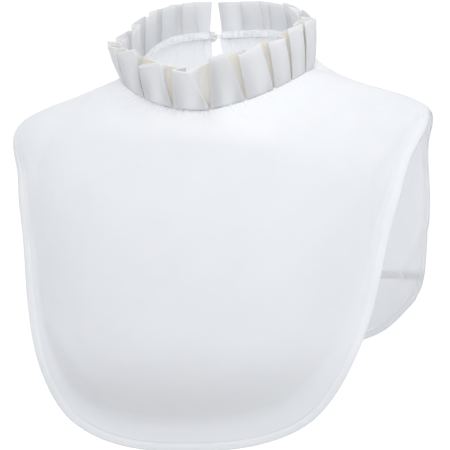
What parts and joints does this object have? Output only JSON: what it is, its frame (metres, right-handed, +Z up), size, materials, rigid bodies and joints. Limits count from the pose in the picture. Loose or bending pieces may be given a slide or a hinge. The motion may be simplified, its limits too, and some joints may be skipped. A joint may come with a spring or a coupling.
{
  "type": "detachable shirt collar",
  "caption": "False collar with a bib front, a shorter slit back, a box-pleated ruffle round the neck, a back button and loop, and underarm elastics, held in its worn shape.",
  "frame": {"origin": "middle of the neck opening, level with the neck ends of the shoulder seams, where the wearer's neck and shoulders hold it", "axes": "+Z up, -Y the way the wearer faces, +X to the wearer's left"},
  "size_m": [0.3299, 0.2355, 0.3243],
  "materials": {
    "cotton": "fine plain-woven white cotton, matt with a faint sheen",
    "ruffle_cotton": "crisp fine white cotton, slightly see-through where it is single",
    "elastic": "white woven elastic tape, matt",
    "button": "white polyester button, soft gloss",
    "thread": "white twisted thread, matt"
  },
  "bodies": {
    "root": {"front_panel": "cotton", "back_panel": "cotton", "neck_ruffle": "ruffle_cotton", "neck_casing": "cotton", "side_elastic_left": "elastic", "side_elastic_right": "elastic", "button": "button", "button_stem": "thread", "button_loop": "thread"}
  },
  "joints": []
}
